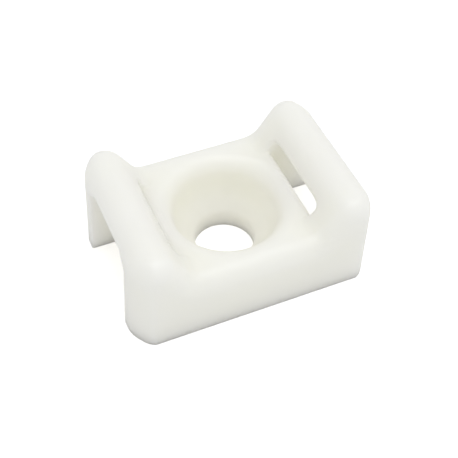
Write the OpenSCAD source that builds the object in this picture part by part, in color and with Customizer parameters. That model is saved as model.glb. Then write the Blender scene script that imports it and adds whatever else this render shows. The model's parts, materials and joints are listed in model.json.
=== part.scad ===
// Saddle cable tie mount: one nylon moulding with a screw hole between two raised lugs.
// X runs along the tie, Y along the cable bundle and Z up from the flat base.
// The origin is the centre of the screw hole on the base.

/* [Base] */
// Length of the base, along the tie
base_l = 15; // [13.5:0.1:20]
// Width of the base, along the bundle
base_w = 10.4; // [9.6:0.1:16]
// Radius of the upright corners
corner_r = 1.8; // [1.5:0.1:2]
// Lean of the two end faces, in degrees from upright
end_draft = 2; // [0:0.5:4]

/* [Saddle and lugs] */
// Height of the saddle floor between the lugs
saddle_h = 4.1; // [3.8:0.1:4.4]
// Height over the crests of the lugs
lug_h = 6.3; // [6.1:0.1:7]
// Distance from the screw hole's axis to the foot of a lug's inner slope, at floor height
lug_foot = 3.8; // [3.7:0.05:4]
// Slope of a lug's inner face, in degrees from level
lug_slope = 56; // [52:1:62]
// Hollow radius where a lug meets the saddle floor
saddle_fillet_r = 1; // [0.5:0.1:1.5]
// Rounding of the upper edges along the front and the back
edge_r = 1.1; // [0.6:0.1:1.3]

/* [Tie passage] */
// Width of the passage, for ties up to 5 mm wide
passage_w = 5.8; // [4:0.1:6.2]
// Height of the passage's roof, under the band of each lug
roof_h = 4.8; // [4.4:0.05:5.2]
// Distance from the foot of the slope out to the passage's inner wall
wall_set = 0.4; // [0.3:0.05:0.6]
// Rounding where the saddle floor turns down into the slot
floor_lip_r = 0.3; // [0.1:0.05:0.4]
// Rounding of the band's lower edge inside the slot
slot_lip_r = 0.4; // [0.1:0.05:0.5]
// Rounding of the band's lower edge at the outer end
end_lip_r = 0.6; // [0.1:0.05:0.6]

/* [Screw hole] */
// Diameter of the bore for the screw's shank
bore_d = 3.65; // [3:0.05:4]
// Length of the straight bore above the base
bore_land = 1.2; // [0.8:0.1:1.6]
// Diameter of the seat for the screw's head, at the foot of the recess wall
seat_d = 5.9; // [5:0.05:6]
// Height of the foot of the recess wall above the base
seat_h = 2.3; // [2:0.1:2.6]
// Lean of the recess wall, in degrees from upright
recess_draft = 12; // [4:1:20]
// Rounding of the recess where it opens into the saddle floor
rim_r = 0.85; // [0.3:0.05:0.9]

/* [Hidden] */
// Steps in a rounded corner, over a crest and in a hollow fillet of the block
corner_steps = 12;
crest_steps = 16;
hollow_steps = 7;
// Facets round the screw hole
round_facets = 96;
// Steps in a rounded lip of the tie passage
lip_steps = 6;
// Height that the tie's bed keeps above the saddle floor, so that the two do not coincide
bed_rise = 0.03;
// Angle by which an arc that runs out of a flat face stops short of it
run_out = 8;
// How far a cutter runs past the face that it opens
over = 1;
// Smallest crest radius, left at the flat front and back faces
crest_min_r = 0.05;

// Points of an arc about c from angle a0 to angle a1, in n steps
function arc(c, r, a0, a1, n) =
    [for (i = [0 : n]) let (a = a0 + (a1 - a0) * i / n) c + r * [cos(a), sin(a)]];

// The block is a loft of side outlines, stacked from the front face to the back face.
// Each outline is drawn in by two amounts that follow the rounded corners:
//   tuck  how far its ends draw in, round the upright corners
//   sink  how far its upper edge draws in, over the rounded edges

// Distance of the inner slope from the origin, measured square to the slope
slope_reach = cos(lug_slope) * saddle_h - sin(lug_slope) * lug_foot;

// Crest radius that touches the end face, the inner slope and the crest height at once
crest_share = 1 - cos(lug_slope) + sin(lug_slope) * (1 / cos(end_draft) - tan(end_draft));
fall = cos(lug_slope) + sin(lug_slope) * tan(end_draft);
crest_r = (sin(lug_slope) * base_l / 2 + slope_reach - fall * lug_h) / crest_share;
function crest_radius(tuck, sink) =
    max(crest_min_r, crest_r - (sin(lug_slope) * tuck + (1 - fall) * sink) / crest_share);

function crest_top(tuck, sink) =
    (sin(lug_slope) * (base_l / 2 - tuck) + slope_reach - sink
        - crest_radius(tuck, sink) * crest_share) / fall;

// Centre of the crest's circle, in the side view
function crest_centre(tuck, sink) =
    let (r = crest_radius(tuck, sink), z = crest_top(tuck, sink) - r)
    [base_l / 2 - tuck - z * tan(end_draft) - r / cos(end_draft), z];

// Centre of the hollow fillet between a lug and the floor, the same in every outline
hollow_z = saddle_h + saddle_fillet_r;
hollow_centre = [
    (cos(lug_slope) * hollow_z - slope_reach - saddle_fillet_r) / sin(lug_slope),
    hollow_z
];

// Right half of an outline, from the saddle floor over the lug down to the base
function half_outline(tuck, sink) = concat(
    arc(hollow_centre, saddle_fillet_r + sink, -90, lug_slope - 90, hollow_steps),
    arc(crest_centre(tuck, sink), crest_radius(tuck, sink),
        90 + lug_slope, end_draft, crest_steps),
    [[base_l / 2 - tuck, 0]]
);

// Whole outline, from the left end of the base over both lugs to the right end
function outline(tuck, sink) =
    let (half = half_outline(tuck, sink), n = len(half))
    concat([for (i = [n - 1 : -1 : 0]) [-half[i][0], half[i][1]]], half);

// Turn round a corner, in degrees, to y, tuck and sink, on the back half
function corner_y(turn) = base_w / 2 - corner_r * (1 - sin(turn));
function tuck_at(turn) = corner_r * (1 - cos(turn));
function sink_at(turn) =
    let (past = max(0, corner_y(turn) - base_w / 2 + edge_r))
    edge_r - sqrt(max(0, edge_r * edge_r - past * past));

// One outline of the loft: side is -1 for the front half and 1 for the back half
function ring(side, turn) =
    [for (p = outline(tuck_at(turn), sink_at(turn))) [p[0], side * corner_y(turn), p[1]]];

module block() {
    turns = [for (i = [0 : corner_steps]) 90 * i / corner_steps];
    rings = concat(
        [for (i = [corner_steps : -1 : 0]) ring(-1, turns[i])],
        [for (turn = turns) ring(1, turn)]
    );
    n = len(rings[0]);
    last = len(rings) - 1;
    polyhedron(
        points = [for (ring = rings) each ring],
        faces = concat(
            [[for (i = [0 : n - 1]) i]],
            [[for (i = [n - 1 : -1 : 0]) last * n + i]],
            [
                for (k = [0 : last - 1], i = [0 : n - 1])
                    let (j = (i + 1) % n)
                    each [
                        [k * n + i, (k + 1) * n + i, (k + 1) * n + j],
                        [k * n + i, (k + 1) * n + j, k * n + j]
                    ]
            ]
        )
    );
}

// Side profile of the tie passage at the +X end. The tie runs over a bed that is level with
// the saddle floor, down over a rounded lip, under the band and out through the end face.
module passage_profile() {
    wall_x = lug_foot + wall_set;
    bed_z = saddle_h + bed_rise;
    floor_lip = [wall_x - floor_lip_r, bed_z - floor_lip_r];
    // The lip in the slot touches the inner slope and the roof
    slot_lip_z = roof_h + slot_lip_r;
    slot_lip = [
        (cos(lug_slope) * slot_lip_z - slope_reach + slot_lip_r) / sin(lug_slope),
        slot_lip_z
    ];
    // The lip at the outer end touches the roof and runs into the round of the crest
    crest = crest_centre(0, 0);
    rise = roof_h + end_lip_r - crest[1];
    end_lip = [
        crest[0] + sqrt(max(0, pow(crest_r - end_lip_r, 2) - rise * rise)),
        roof_h + end_lip_r
    ];
    crest_turn = atan2(rise, end_lip[0] - crest[0]);
    polygon(concat(
        [[wall_x, -over]],
        arc(floor_lip, floor_lip_r, 0, 90, lip_steps),
        [[hollow_centre[0], bed_z]],
        arc(slot_lip, slot_lip_r, 90 + lug_slope + run_out, 270, lip_steps),
        arc(end_lip, end_lip_r, -90, crest_turn - run_out, lip_steps),
        [[base_l / 2 + over, end_lip[1]], [base_l / 2 + over, -over]]
    ));
}

// What the tie passage takes out of the block, at the +X end
module tie_passage() {
    rotate([90, 0, 0])
        linear_extrude(passage_w, center = true)
            passage_profile();
}

// Half section of the screw hole: straight bore, seat cone, recess wall and rounded rim
module hole_section() {
    wall_top = [
        seat_d / 2 + (saddle_h - rim_r - seat_h) * tan(recess_draft),
        saddle_h - rim_r
    ];
    rim_centre = wall_top + [rim_r / cos(recess_draft), 0];
    polygon(concat(
        [[0, -over], [bore_d / 2, -over], [bore_d / 2, bore_land], [seat_d / 2, seat_h]],
        arc(rim_centre, rim_r, 180 - recess_draft, 95, hollow_steps),
        [[rim_centre[0], saddle_h + over], [0, saddle_h + over]]
    ));
}

module screw_hole() {
    rotate_extrude($fn = round_facets)
        hole_section();
}

module tie_mount() {
    color("ivory")
        difference() {
            block();
            screw_hole();
            tie_passage();
            mirror([1, 0, 0])
                tie_passage();
        }
}

tie_mount();
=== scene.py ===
# %% [markdown]
# # A saddle cable tie mount in natural nylon
# A cable tie mount is one small moulding. A screw through its middle holds it to a panel, and a tie
# runs through a slot under the band of each raised lug and pulls the cables down into the saddle.
# It could be modelled from a cube with bevels and cut-outs, but on the real one every round flows
# into the next, and bevels break where rounds of different sizes meet. So this lesson builds it
# from one rule, a formula that says how far any point lies from its skin. Geometry Nodes turn the
# formula into a closed mesh, and a node material gives it milky nylon.

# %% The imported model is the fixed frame
import json
import math
import bpy
from mathutils import Matrix, Vector


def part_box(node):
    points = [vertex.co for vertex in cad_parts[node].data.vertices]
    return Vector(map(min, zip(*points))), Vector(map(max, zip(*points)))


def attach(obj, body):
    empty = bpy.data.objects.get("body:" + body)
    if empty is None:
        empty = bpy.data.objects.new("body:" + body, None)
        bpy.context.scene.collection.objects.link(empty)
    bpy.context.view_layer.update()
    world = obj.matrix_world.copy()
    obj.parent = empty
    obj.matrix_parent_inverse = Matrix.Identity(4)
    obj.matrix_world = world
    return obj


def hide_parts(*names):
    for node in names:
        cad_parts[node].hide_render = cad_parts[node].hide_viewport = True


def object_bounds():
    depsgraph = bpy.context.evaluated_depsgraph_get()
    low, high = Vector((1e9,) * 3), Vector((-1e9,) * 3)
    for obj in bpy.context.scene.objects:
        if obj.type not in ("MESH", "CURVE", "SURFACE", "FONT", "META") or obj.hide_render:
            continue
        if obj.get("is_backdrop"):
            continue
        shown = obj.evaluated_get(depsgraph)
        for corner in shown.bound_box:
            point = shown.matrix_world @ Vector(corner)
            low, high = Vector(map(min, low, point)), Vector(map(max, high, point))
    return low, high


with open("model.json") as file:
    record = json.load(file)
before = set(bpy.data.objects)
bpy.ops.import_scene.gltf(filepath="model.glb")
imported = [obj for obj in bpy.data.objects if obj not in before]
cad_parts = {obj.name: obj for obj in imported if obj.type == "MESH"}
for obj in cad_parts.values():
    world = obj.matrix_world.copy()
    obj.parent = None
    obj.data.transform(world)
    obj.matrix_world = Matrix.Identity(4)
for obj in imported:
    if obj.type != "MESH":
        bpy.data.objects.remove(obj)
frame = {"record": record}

low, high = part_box("tie_mount")
cad_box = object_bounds()
MM = 0.001
print("CAD box in mm:", [round(v / MM, 2) for v in (high - low)])

# %% [markdown]
# ## Named sizes
# A moulding like this is drawn from a few sizes, so the formula gets the same ones, in millimetres.
# The length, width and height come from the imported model, and the screw hole and the channel's
# width from its record, so that the dressed mount can't drift away from it. One table holds them
# all, because then the Geometry Nodes tree can show each one as an input.

# %% The sizes of the moulding
mounts = {mount["name"]: mount for mount in frame["record"]["mounts"]}
screw_hole, passage = mounts["screw_hole"]["dims"], mounts["tie_passage_right"]["dims"]
SIZES = {
    "Length": (high.x - low.x) / MM,
    "Width": (high.y - low.y) / MM,
    "Lug height": (high.z - low.z) / MM,
    "Floor height": 4.1,
    "Lug foot": 3.8,
    "Foot radius": 1.0,
    "Corner radius": 1.8,
    "Edge radius": 1.1,
    "Channel half width": passage["slot_length_mm"] / 2,
    "Channel roof": 4.8,
    "Channel wall": 4.2,
    "Roof radius": 0.35,
    "Bed lip": 0.2,
    "Slot lip": 0.48,
    "Side lip": 0.35,
    "End lip": 0.8,
    "Leg edge": 0.12,
    "Bore radius": screw_hole["r_mm"],
    "Bore height": screw_hole["length_mm"],
    "Seat radius": 2.95,
    "Seat height": 2.3,
    "Rim radius": 0.85,
    "Base edge": 0.05,
}
SLOPE = math.radians(56)
END_DRAFT = math.radians(2)
RECESS_DRAFT = math.radians(12)
print(len(SIZES), "sizes, length", round(SIZES["Length"], 2), "mm")

# %% [markdown]
# ## Arithmetic with node sockets
# In a node tree every sum is a Math node. Hundreds of them are slow to place one by one and hard to
# read, so a small class lets Python's own + - * / stand for them: each use adds one Math node and
# holds its output. A plain number goes straight into the node's own socket.

# %% A number that is the output of a node
def node(tree, kind, **settings):
    made = tree.nodes.new(kind)
    for name, value in settings.items():
        setattr(made, name, value)
    return made


def plug(socket, value):
    if isinstance(value, Measure):
        socket.id_data.links.new(value.socket, socket)
    else:
        socket.default_value = value


def sum_of(operation, *values, clamp=False):
    tree = next(v.socket.id_data for v in values if isinstance(v, Measure))
    made = node(tree, "ShaderNodeMath", operation=operation, use_clamp=clamp)
    for socket, value in zip(made.inputs, values):
        plug(socket, value)
    return Measure(made.outputs[0])


class Measure:
    def __init__(self, socket):
        self.socket = socket

    def __add__(self, other):
        return sum_of("ADD", self, other)

    def __sub__(self, other):
        return sum_of("SUBTRACT", self, other)

    def __rsub__(self, other):
        return sum_of("SUBTRACT", other, self)

    def __mul__(self, other):
        return sum_of("MULTIPLY", self, other)

    def __truediv__(self, other):
        return sum_of("DIVIDE", self, other)

    def __neg__(self):
        return sum_of("MULTIPLY", self, -1.0)

    __radd__ = __add__
    __rmul__ = __mul__


# %% [markdown]
# ## Words for the formula
# The formula needs a few more words than + - * /. A mask is a value between 0 and 1: `chosen` mixes
# two values by a mask, `ramp` is a mask that climbs over a given stretch, and `eased` softens both
# ends of a ramp, as a mould maker blends one radius into the next.

# %% Larger, smaller, length, mixes and ramps
def larger(a, b):
    return sum_of("MAXIMUM", a, b)


def smaller(a, b):
    return sum_of("MINIMUM", a, b)


def length(a, b):
    return sum_of("SQRT", a * a + b * b)


def chosen(mask, inside, outside):
    return outside + mask * (inside - outside)


def ramp(value, start, stretch):
    return sum_of("DIVIDE", value - start, stretch, clamp=True)


def eased(mask):
    return mask * mask * (3.0 - mask * 2.0)


# %% [markdown]
# ## Solids that meet in a round
# A distance formula is negative inside a solid and positive outside it. Where two solids overlap,
# the larger of their two distances is the distance to what they share, with a sharp edge. Moulded
# plastic has no sharp edges, so `rounded` swaps the edge for an arc of a given radius.

# %% What two solids share, with a rounded edge
def rounded(a, b, radius):
    edge = length(larger(a + radius, 0.0), larger(b + radius, 0.0))
    return smaller(larger(a, b), -radius) + edge


# %% [markdown]
# ## Side outline: floor, slope, crest and end face
# Seen from the side, each half of the mount is a saddle floor, a hollow foot, a straight slope, a
# round crest and an end face that leans in by two degrees. The outline could be a bezier curve, but
# here each arc has to touch its straight neighbours. The crest's circle touches the slope, the end
# face and the top, so its radius and its centre follow from those. Inside the wedge between the
# normals at the ends of an arc the distance is measured from the arc's centre, elsewhere from the
# lines. Over the slot the hollow foot draws in to almost nothing, so that the slot's edge is clean.

# %% The side outline as a distance
SIN, COS, LEAN = math.sin(SLOPE), math.cos(SLOPE), math.tan(END_DRAFT)
TIGHT_FOOT, FOOT_BLEND = 0.1, 0.8


def slope_reach(size):
    return size["Floor height"] * COS - size["Lug foot"] * SIN


def crest_circle(size, reach):
    share = 1 - COS + SIN * (1 / math.cos(END_DRAFT) - LEAN)
    fall = COS + SIN * LEAN
    radius = (size["Length"] * (0.5 * SIN) + reach - size["Lug height"] * fall) / share
    z = size["Lug height"] - radius
    x = size["Length"] * 0.5 - z * LEAN - radius * (1 / math.cos(END_DRAFT))
    return x, z, radius


def beyond(x, z, centre, angle):
    # 1 on the side of a line through the centre that the angle points to, 0 on the other
    ahead = (x - centre[0]) * math.cos(angle) + (z - centre[1]) * math.sin(angle)
    return sum_of("GREATER_THAN", ahead, 0.0)


def side_outline(x, y, z, size):
    reach = slope_reach(size)
    crest_x, crest_z, crest_r = crest_circle(size, reach)
    end_face = (x - size["Length"] * 0.5 + z * LEAN) * math.cos(END_DRAFT)
    slope = z * COS - x * SIN - reach

    crest = (crest_x, crest_z)
    on_crest = beyond(x, z, crest, math.pi / 2 + END_DRAFT) * beyond(x, z, crest, SLOPE)
    crest_arc = length(x - crest_x, z - crest_z) - crest_r
    lug = chosen(on_crest, crest_arc, larger(slope, end_face))

    beside = eased(ramp(y - size["Channel half width"], -FOOT_BLEND / 2, FOOT_BLEND))
    foot_r = chosen(beside, size["Foot radius"], TIGHT_FOOT)
    foot_z = size["Floor height"] + foot_r
    foot_x = (foot_z * COS - reach - foot_r) * (1 / SIN)
    foot = (foot_x, foot_z)
    in_foot = beyond(x, z, foot, 0.0) * beyond(x, z, foot, SLOPE + math.pi)
    foot_arc = foot_r - length(x - foot_x, z - foot_z)
    saddle = chosen(in_foot, foot_arc, smaller(lug, z - size["Floor height"]))
    return larger(saddle, end_face), ramp(x, crest_x, crest_r)


print("crest radius:", round(crest_circle(SIZES, slope_reach(SIZES))[2], 2), "mm")

# %% [markdown]
# ## Screw hole and tie channel
# The hole is a bore, a seat cone for the head and a recess wall that leans out by twelve degrees.
# The channel is a tunnel under the lug's band, less the bed that the tie comes in over. The bed is
# level with the saddle floor and ends at an inner wall. The channel is open below and through the
# end face. Boolean cuts would leave sharp edges here, so both are solids that the block loses:
# their distances turn sign before `rounded` joins them to the block.

# %% The hole and the channel as distances
SEAT_CORNER, BORE_EDGE, CHANNEL_CORNER = 0.35, 0.12, 0.2


def hole(radius, z, size):
    rise, run = size["Seat height"] - size["Bore height"], size["Seat radius"] - size["Bore radius"]
    side = length(rise, run)
    bore = radius - size["Bore radius"]
    cone = (bore * rise - (z - size["Bore height"]) * run) / side
    wall = ((radius - size["Seat radius"]) * math.cos(RECESS_DRAFT)
            - (z - size["Seat height"]) * math.sin(RECESS_DRAFT))
    return -rounded(-bore, -rounded(cone, wall, SEAT_CORNER), BORE_EDGE)


def channel(x, y, z, size):
    tunnel = rounded(y - size["Channel half width"], z - size["Channel roof"],
                     size["Roof radius"])
    bed = rounded(x - size["Channel wall"], z - size["Floor height"], size["Bed lip"])
    return rounded(tunnel, -bed, CHANNEL_CORNER)


# %% [markdown]
# ## The channel's lips
# The lips of the channel are not all alike. The band is well rounded where a tie bends round it,
# most of all at the outer end, and the legs stay crisp. One radius would blunt the legs or cut the
# tie, so three ramps mix the radius from place to place: outward along the tie, upward from the
# floor and inward from the channel's side.

# %% The radius of the lip from place to place
OUTWARD, UPWARD, INWARD = (5.0, 1.5), (0.1, 0.5), (0.0, 0.8)


def lip_radius(x, y, z, size):
    outward = ramp(x, *OUTWARD)
    upward = ramp(z - size["Floor height"], *UPWARD)
    inward = ramp(size["Channel half width"] - y, *INWARD)
    side_lip = chosen(outward, size["Leg edge"], size["Side lip"] * upward)
    roof_lip = chosen(outward, size["End lip"], size["Slot lip"])
    return chosen(inward * upward, roof_lip, side_lip)


for way, (start, stretch) in (("outward", OUTWARD), ("upward", UPWARD), ("inward", INWARD)):
    print(way, "ramp: from", start, "mm over", stretch, "mm")

# %% [markdown]
# ## One group for the whole formula
# The formula is needed several times: once to fill a grid and again to place each vertex exactly.
# A node group holds it once. Its inputs are a point and the named sizes, and its output is the
# distance. The mount is the same on all four quarters, so the group works on |x| and |y|.

# %% The distance group
def add_sizes(tree):
    for name, value in SIZES.items():
        socket = tree.interface.new_socket(name, in_out="INPUT", socket_type="NodeSocketFloat")
        socket.default_value = value


def make_distance_group():
    tree = bpy.data.node_groups.new("tie_mount_distance", "GeometryNodeTree")
    tree.interface.new_socket("Point", in_out="INPUT", socket_type="NodeSocketVector")
    tree.interface.new_socket("Distance", in_out="OUTPUT", socket_type="NodeSocketFloat")
    add_sizes(tree)
    entry, exit_ = node(tree, "NodeGroupInput"), node(tree, "NodeGroupOutput")
    size = {name: Measure(entry.outputs[name]) for name in SIZES}
    apart = node(tree, "ShaderNodeSeparateXYZ")
    tree.links.new(entry.outputs["Point"], apart.inputs[0])
    x_signed, y_signed, z = (Measure(out) for out in apart.outputs)
    x, y = sum_of("ABSOLUTE", x_signed), sum_of("ABSOLUTE", y_signed)

    outline, to_end = side_outline(x, y, z, size)
    edge = chosen(eased(to_end), size["Corner radius"], size["Edge radius"])
    block = rounded(outline, y - size["Width"] * 0.5, edge)
    block = rounded(block, -hole(length(x, y), z, size), size["Rim radius"])
    block = rounded(block, -channel(x, y, z, size), lip_radius(x, y, z, size))
    plug(exit_.inputs["Distance"], rounded(block, -z, size["Base edge"]))
    return tree


distance_group = make_distance_group()
print("distance group:", len(distance_group.nodes), "nodes")

# %% [markdown]
# ## Slide the vertices on to the skin
# The mesh that comes off a grid is slightly wavy, because it only joins the points where the skin
# crosses the grid's lines. The formula mends that. Probes a hundredth of a millimetre away on each
# axis give its slope at a vertex, and the vertex slides along that slope by the distance left.

# %% Probe the formula and move each vertex
PROBE = 0.01
LEAST_STEEP = 0.05


def distance_at(tree, entry, point):
    call = node(tree, "GeometryNodeGroup", node_tree=distance_group)
    tree.links.new(point, call.inputs["Point"])
    for name in SIZES:
        tree.links.new(entry.outputs[name], call.inputs[name])
    return Measure(call.outputs["Distance"])


def shifted(tree, point, offset):
    add = node(tree, "ShaderNodeVectorMath", operation="ADD")
    tree.links.new(point, add.inputs[0])
    add.inputs[1].default_value = offset
    return add.outputs[0]


def slide_to_skin(tree, entry, geometry):
    point = node(tree, "GeometryNodeInputPosition").outputs[0]
    here = distance_at(tree, entry, point)
    slope = []
    for axis in range(3):
        step = [PROBE if i == axis else 0.0 for i in range(3)]
        ahead = distance_at(tree, entry, shifted(tree, point, step))
        behind = distance_at(tree, entry, shifted(tree, point, [-s for s in step]))
        slope.append((ahead - behind) * (0.5 / PROBE))
    squares = slope[0] * slope[0] + slope[1] * slope[1] + slope[2] * slope[2]
    steep = larger(squares, LEAST_STEEP)
    move = node(tree, "ShaderNodeCombineXYZ")
    for socket, part in zip(move.inputs, slope):
        plug(socket, -(here * part / steep))
    place = node(tree, "GeometryNodeSetPosition")
    tree.links.new(geometry, place.inputs["Geometry"])
    tree.links.new(move.outputs[0], place.inputs["Offset"])
    return place.outputs[0]


# %% [markdown]
# ## From the formula to a mesh
# Volume Cube samples the formula on a fine grid, and Volume to Mesh draws a closed skin where it is
# zero. The grid holds 1 less the distance, so the skin lies at a threshold of 1. Two slides then
# place each vertex. The tree works in millimetres and scales down to metres at the end.

# %% Build the form tree
VOXEL = 0.09
MARGIN = 0.4
SKIN = 1.0
SLIDES = 2


def sample_grid(tree, entry):
    spot = node(tree, "GeometryNodeInputPosition").outputs[0]
    cube = node(tree, "GeometryNodeVolumeCube")
    half = [SIZES["Length"] / 2 + MARGIN, SIZES["Width"] / 2 + MARGIN]
    cube.inputs["Min"].default_value = (-half[0], -half[1], -MARGIN)
    cube.inputs["Max"].default_value = (half[0], half[1], SIZES["Lug height"] + MARGIN)
    spans = (2 * half[0], 2 * half[1], SIZES["Lug height"] + 2 * MARGIN)
    for axis, span in zip("XYZ", spans):
        cube.inputs["Resolution " + axis].default_value = round(span / VOXEL) + 1
    plug(cube.inputs["Density"], SKIN - distance_at(tree, entry, spot))
    return cube.outputs[0]


def make_form_tree(material):
    tree = bpy.data.node_groups.new("tie_mount_form", "GeometryNodeTree")
    tree.is_modifier = True
    tree.interface.new_socket("Geometry", in_out="OUTPUT", socket_type="NodeSocketGeometry")
    add_sizes(tree)
    entry, exit_ = node(tree, "NodeGroupInput"), node(tree, "NodeGroupOutput")

    skin = node(tree, "GeometryNodeVolumeToMesh")
    tree.links.new(sample_grid(tree, entry), skin.inputs["Volume"])
    skin.inputs["Threshold"].default_value = SKIN
    geometry = skin.outputs["Mesh"]
    for _ in range(SLIDES):
        geometry = slide_to_skin(tree, entry, geometry)

    scale = node(tree, "GeometryNodeTransform")
    tree.links.new(geometry, scale.inputs["Geometry"])
    scale.inputs["Scale"].default_value = (MM, MM, MM)
    smooth = node(tree, "GeometryNodeSetShadeSmooth")
    real = node(tree, "GeometryNodeRealizeInstances")
    paint = node(tree, "GeometryNodeSetMaterial")
    paint.inputs["Material"].default_value = material
    for a, b in ((scale, smooth), (smooth, real), (real, paint), (paint, exit_)):
        tree.links.new(a.outputs[0], b.inputs[0])
    return tree


print("grid step:", VOXEL, "mm")

# %% [markdown]
# ## Natural nylon
# Undyed nylon is milky: light goes in, scatters for a millimetre or two and comes out a bit warm.
# A plain white gloss would look like paint, so the Principled shader's subsurface scattering does
# this. Two noise patterns add what a moulding shows up close, a faint cloudiness in the colour and
# a fine unevenness in the gloss, and a third gives it the lightest grain.

# %% The nylon material
CLOUDS = ((0.972, 0.948, 0.842, 1), (0.982, 0.960, 0.864, 1))
GLOSS = (0.30, 0.42)
GRAIN_DEPTH, GRAIN_STRENGTH = 0.02 * MM, 0.25
SCATTER = 2.0 * MM
NYLON_IOR = 1.53
# A Mix node keeps its sockets for colours after those for numbers and vectors
COLOUR_A, COLOUR_B, COLOUR_OUT = 6, 7, 2


def noise(tree, scale, detail):
    place = node(tree, "ShaderNodeTexCoord")
    pattern = node(tree, "ShaderNodeTexNoise")
    tree.links.new(place.outputs["Object"], pattern.inputs["Vector"])
    pattern.inputs["Scale"].default_value = scale
    pattern.inputs["Detail"].default_value = detail
    return pattern.outputs["Fac"]


def make_nylon():
    material = bpy.data.materials.new("natural_nylon")
    material.use_nodes = True
    tree = material.node_tree
    shader = tree.nodes["Principled BSDF"]

    clouds = node(tree, "ShaderNodeMix", data_type="RGBA")
    tree.links.new(noise(tree, scale=300.0, detail=2.0), clouds.inputs["Factor"])
    clouds.inputs[COLOUR_A].default_value, clouds.inputs[COLOUR_B].default_value = CLOUDS
    tree.links.new(clouds.outputs[COLOUR_OUT], shader.inputs["Base Color"])

    gloss = node(tree, "ShaderNodeMapRange")
    tree.links.new(noise(tree, scale=2500.0, detail=3.0), gloss.inputs["Value"])
    gloss.inputs["To Min"].default_value, gloss.inputs["To Max"].default_value = GLOSS
    tree.links.new(gloss.outputs[0], shader.inputs["Roughness"])

    grain = node(tree, "ShaderNodeBump")
    grain.inputs["Distance"].default_value = GRAIN_DEPTH
    grain.inputs["Strength"].default_value = GRAIN_STRENGTH
    tree.links.new(noise(tree, scale=1200.0, detail=2.0), grain.inputs["Height"])
    tree.links.new(grain.outputs[0], shader.inputs["Normal"])

    shader.inputs["IOR"].default_value = NYLON_IOR
    shader.inputs["Subsurface Weight"].default_value = 1.0
    shader.inputs["Subsurface Radius"].default_value = (1.0, 1.0, 1.0)
    shader.inputs["Subsurface Scale"].default_value = SCATTER
    return material


nylon = make_nylon()
print("material:", nylon.name)

# %% [markdown]
# ## The finished moulding
# The tree runs as a modifier on an empty mesh. Each named size is set by its socket's identifier
# before the first evaluation. The result is then copied to a plain mesh and the modifier goes,
# so that the plain mesh holds exactly what is seen.

# %% Make the mount and hand it to the frame
def made_by(tree, name):
    holder = bpy.data.objects.new(name + "_maker", bpy.data.meshes.new(name))
    bpy.context.scene.collection.objects.link(holder)
    modifier = holder.modifiers.new("form", "NODES")
    modifier.node_group = tree
    for item in tree.interface.items_tree:
        if item.in_out == "INPUT":
            modifier[item.identifier] = SIZES[item.name]
    ready = holder.evaluated_get(bpy.context.evaluated_depsgraph_get())
    mesh = bpy.data.meshes.new_from_object(ready)
    bpy.data.objects.remove(holder)
    mesh.name = name
    piece = bpy.data.objects.new(name, mesh)
    bpy.context.scene.collection.objects.link(piece)
    return piece


mount = made_by(make_form_tree(nylon), "nylon_mount")
print("mount:", len(mount.data.vertices), "vertices,", len(mount.data.polygons), "faces")
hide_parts("tie_mount")
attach(mount, "root")

# %% [markdown]
# ## Floor and backdrop
# The mount lies on a plain white sheet that passes a little light from below, which softens the
# dark of the bore and the channels. The sheet is brighter to the camera than the light alone would
# make it, so that it runs out to white, and it keeps the mount's soft shadow.

# %% The floor
SHEET_REACH, SHEET_GAP = 2.0, 0.01 * MM
SHEET_WHITE, SHEET_ROUGHNESS = (0.85, 0.85, 0.85, 1), 0.9
SHEET_LIGHT, SHEET_SEEN = 0.06, 0.45


def make_floor():
    mesh = bpy.data.meshes.new("floor")
    reach = SHEET_REACH
    corners = [(-reach, -reach, 0), (reach, -reach, 0), (reach, reach, 0), (-reach, reach, 0)]
    mesh.from_pydata(corners, [], [(0, 1, 2, 3)])
    floor = bpy.data.objects.new("floor", mesh)
    bpy.context.scene.collection.objects.link(floor)
    floor.location.z = low.z - SHEET_GAP
    material = bpy.data.materials.new("white_sheet")
    material.use_nodes = True
    tree = material.node_tree
    shader = tree.nodes["Principled BSDF"]
    shader.inputs["Base Color"].default_value = SHEET_WHITE
    shader.inputs["Roughness"].default_value = SHEET_ROUGHNESS
    shader.inputs["Emission Color"].default_value = (1, 1, 1, 1)
    seen = node(tree, "ShaderNodeLightPath").outputs["Is Camera Ray"]
    plug(shader.inputs["Emission Strength"],
         Measure(seen) * (SHEET_SEEN - SHEET_LIGHT) + SHEET_LIGHT)
    floor.data.materials.append(material)
    floor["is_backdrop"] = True
    return floor


floor = make_floor()
print("floor at", round(floor.location.z / MM, 3), "mm")

# %% [markdown]
# ## Light
# A small white product is lit softly from above, so that its rounded edges shade gently. The pale
# world does most of it, a wide lamp overhead gives the shading its direction and a weaker one fills
# from the side. The camera sees the world as plain white, so that no grey shows in a low view.

# %% Lamps and world
ROOM_LIGHT = 0.66


def lamp(name, place, size, watts):
    data = bpy.data.lights.new(name, "AREA")
    data.shape, data.size, data.energy = "DISK", size, watts
    made = bpy.data.objects.new(name, data)
    bpy.context.scene.collection.objects.link(made)
    made.location = place
    made.rotation_euler = (-Vector(place)).to_track_quat("-Z", "Y").to_euler()
    return made


lamps = [lamp("overhead", place=(0.0, -0.035, 0.40), size=0.30, watts=0.41),
         lamp("side_fill", place=(0.26, 0.02, 0.31), size=0.30, watts=0.13)]

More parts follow.
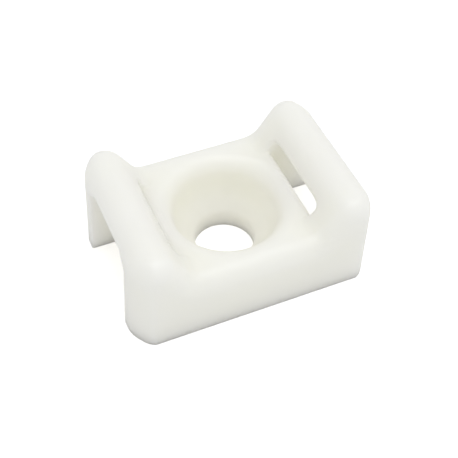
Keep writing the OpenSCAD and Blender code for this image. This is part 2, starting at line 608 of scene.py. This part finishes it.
world = bpy.data.worlds.new("pale_room")
bpy.context.scene.world = world
world.use_nodes = True
background = world.node_tree.nodes["Background"]
background.inputs["Color"].default_value = (1, 1, 1, 1)
seen = node(world.node_tree, "ShaderNodeLightPath").outputs["Is Camera Ray"]
plug(background.inputs["Strength"], ROOM_LIGHT + Measure(seen) * (1.0 - ROOM_LIGHT))
print("lamps:", [made.name for made in lamps])

# %% [markdown]
# ## Camera
# The camera looks down on the mount from the front left, about six centimetres away, with a lens
# long enough to keep its shape natural. Its axes come from the azimuth, the elevation and a small
# roll, and it stands a little aside and aloft of the line through the mount's middle.

# %% Place the camera
AZIMUTH, ELEVATION, ROLL = (math.radians(a) for a in (-25.57, 48.91, 2.62))
DISTANCE = 58.952 * MM
LENS, SENSOR = 75.24, 36.0
ASIDE, ALOFT = 0.307 * MM, 1.117 * MM

back = Vector((math.sin(AZIMUTH) * math.cos(ELEVATION),
               -math.cos(AZIMUTH) * math.cos(ELEVATION), math.sin(ELEVATION)))
level_right = (-back).cross(Vector((0, 0, 1))).normalized()
level_up = level_right.cross(-back)
right = level_right * math.cos(ROLL) + level_up * math.sin(ROLL)
up = level_up * math.cos(ROLL) - level_right * math.sin(ROLL)
place = back * DISTANCE + right * ASIDE + up * ALOFT

camera_data = bpy.data.cameras.new("camera")
camera_data.lens, camera_data.sensor_width = LENS, SENSOR
camera_data.clip_start, camera_data.clip_end = 1 * MM, 10.0
camera = bpy.data.objects.new("camera", camera_data)
bpy.context.scene.collection.objects.link(camera)
turn = Matrix((right, up, back)).transposed().to_4x4()
camera.matrix_world = Matrix.Translation(place) @ turn
bpy.context.scene.camera = camera
bpy.context.scene.view_settings.view_transform = "Standard"
print("camera at", [round(v / MM, 1) for v in place], "mm")

# %% [markdown]
# The dressed mount must fill the same box as the imported model. Both boxes are printed.

# %% Print the sizes and finish
boxes = {"cad": cad_box, "visual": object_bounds()}
for name, box in boxes.items():
    print(name, "size in mm:", [round((b - a) / MM, 2) for a, b in zip(*box)])
